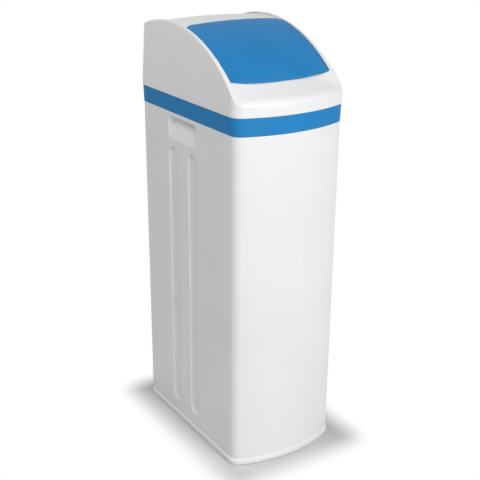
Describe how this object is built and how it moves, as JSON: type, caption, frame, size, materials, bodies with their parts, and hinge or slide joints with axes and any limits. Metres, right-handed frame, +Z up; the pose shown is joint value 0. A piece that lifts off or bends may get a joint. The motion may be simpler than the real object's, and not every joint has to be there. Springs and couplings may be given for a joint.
{
  "type": "water softener",
  "caption": "Tall cabinet water softener with a bowed white tank, blue band, domed cover with a sliding blue salt lid, resin vessel, control valve and brine well inside.",
  "frame": {"origin": "middle of the cabinet's footprint, on the floor", "axes": "+Z up, -Y towards the front of the cabinet, +X to the right seen from the front"},
  "size_m": [0.324, 0.535, 1.121],
  "materials": {
    "cabinet_white": "moulded satin white polyethylene",
    "trim_blue": "satin blue plastic",
    "vessel_shell": "wound fibreglass vessel",
    "black_plastic": "black moulded plastic",
    "resin": "bed of amber beads",
    "grey_plastic": "grey moulded plastic",
    "pale_plastic": "pale moulded plastic",
    "rubber": "soft black rubber",
    "steel": "stainless steel",
    "gear_nylon": "natural nylon",
    "housing_dark": "dark textured plastic",
    "window": "dark display window",
    "board": "green circuit board",
    "handle_red": "red plastic",
    "float_orange": "orange plastic",
    "tube_clear": "milky tubing"
  },
  "bodies": {
    "cabinet": {"cabinet_body": "cabinet_white", "trim_band": "trim_blue", "pressure_vessel": "vessel_shell", "vessel_boot": "black_plastic", "resin_bed": "resin", "riser_tube": "pale_plastic", "lower_distributor": "grey_plastic", "upper_basket": "grey_plastic", "valve_body": "black_plastic", "neck_seal": "rubber", "end_plug": "grey_plastic", "seal_stack": "rubber", "drive_bracket": "grey_plastic", "drive_motor": "steel", "control_housing": "housing_dark", "display_window": "window", "circuit_board": "board", "power_socket": "black_plastic", "housing_screws": "steel", "bracket_screws": "steel", "injector_cap": "housing_dark", "drain_elbow": "housing_dark", "brine_elbow": "housing_dark", "bypass_body": "black_plastic", "bypass_clips": "handle_red", "brine_well": "pale_plastic", "brine_valve": "pale_plastic", "brine_tube": "tube_clear", "salt_grid": "pale_plastic", "overflow_elbow": "pale_plastic", "overflow_seal": "rubber", "overflow_nut": "pale_plastic"},
    "cover": {"top_cover": "cabinet_white"},
    "lid": {"salt_lid": "trim_blue"},
    "inlet_rotor": {"inlet_handle": "handle_red"},
    "outlet_rotor": {"outlet_handle": "handle_red"},
    "gear": {"drive_gear": "gear_nylon"},
    "pinion": {"motor_pinion": "steel"},
    "piston_set": {"piston": "steel", "piston_rod": "steel"},
    "float_set": {"float": "float_orange", "float_rod": "steel"},
    "well_cap": {"brine_well_cap": "black_plastic"},
    "menu": {"button_menu": "pale_plastic"},
    "down": {"button_down": "pale_plastic"},
    "up": {"button_up": "pale_plastic"},
    "set": {"button_set": "pale_plastic"}
  },
  "joints": [
    {"name": "cover_lift", "type": "slide", "parent": "cabinet", "child": "cover", "axis": [0, 0, 1], "range_m": [0, 0.2]},
    {"name": "lid_slide", "type": "hinge", "parent": "cover", "child": "lid", "pos_m": [0, 0.105, 0.7], "axis": [-1, 0, 0], "range_deg": [0, 28]},
    {"name": "inlet_turn", "type": "hinge", "parent": "cabinet", "child": "inlet_rotor", "pos_m": [-0.038, 0.204, 0.96], "axis": [0, 0, 1], "range_deg": [0, 90]},
    {"name": "outlet_turn", "type": "hinge", "parent": "cabinet", "child": "outlet_rotor", "pos_m": [0.038, 0.204, 0.96], "axis": [0, 0, 1], "range_deg": [0, 90]},
    {"name": "gear_turn", "type": "hinge", "parent": "cabinet", "child": "gear", "pos_m": [0, 0.046, 0.96], "axis": [0, 1, 0], "range_deg": [-2, 1442]},
    {"name": "pinion_turn", "type": "hinge", "parent": "cabinet", "child": "pinion", "pos_m": [0.03606, 0.046, 0.99606], "axis": [0, 1, 0], "range_deg": [-6730, 10]},
    {"name": "piston_travel", "type": "slide", "parent": "cabinet", "child": "piston_set", "axis": [0, 1, 0], "range_m": [0, 0.024]},
    {"name": "float_rise", "type": "slide", "parent": "cabinet", "child": "float_set", "axis": [0, 0, 1], "range_m": [0, 0.06]},
    {"name": "well_cap_lift", "type": "slide", "parent": "cabinet", "child": "well_cap", "axis": [0, 0, 1], "range_m": [0, 0.05]},
    {"name": "menu_press", "type": "slide", "parent": "cabinet", "child": "menu", "axis": [0, 1, 0], "range_m": [0, 0.0015], "stiffness_N_per_m": 400},
    {"name": "down_press", "type": "slide", "parent": "cabinet", "child": "down", "axis": [0, 1, 0], "range_m": [0, 0.0015], "stiffness_N_per_m": 400},
    {"name": "up_press", "type": "slide", "parent": "cabinet", "child": "up", "axis": [0, 1, 0], "range_m": [0, 0.0015], "stiffness_N_per_m": 400},
    {"name": "set_press", "type": "slide", "parent": "cabinet", "child": "set", "axis": [0, 1, 0], "range_m": [0, 0.0015], "stiffness_N_per_m": 400}
  ],
  "couplings": [
    {"joint": "gear_turn", "follows": "piston_travel", "rad_per_m": 1047.2},
    {"joint": "pinion_turn", "follows": "piston_travel", "rad_per_m": -4886.9}
  ]
}
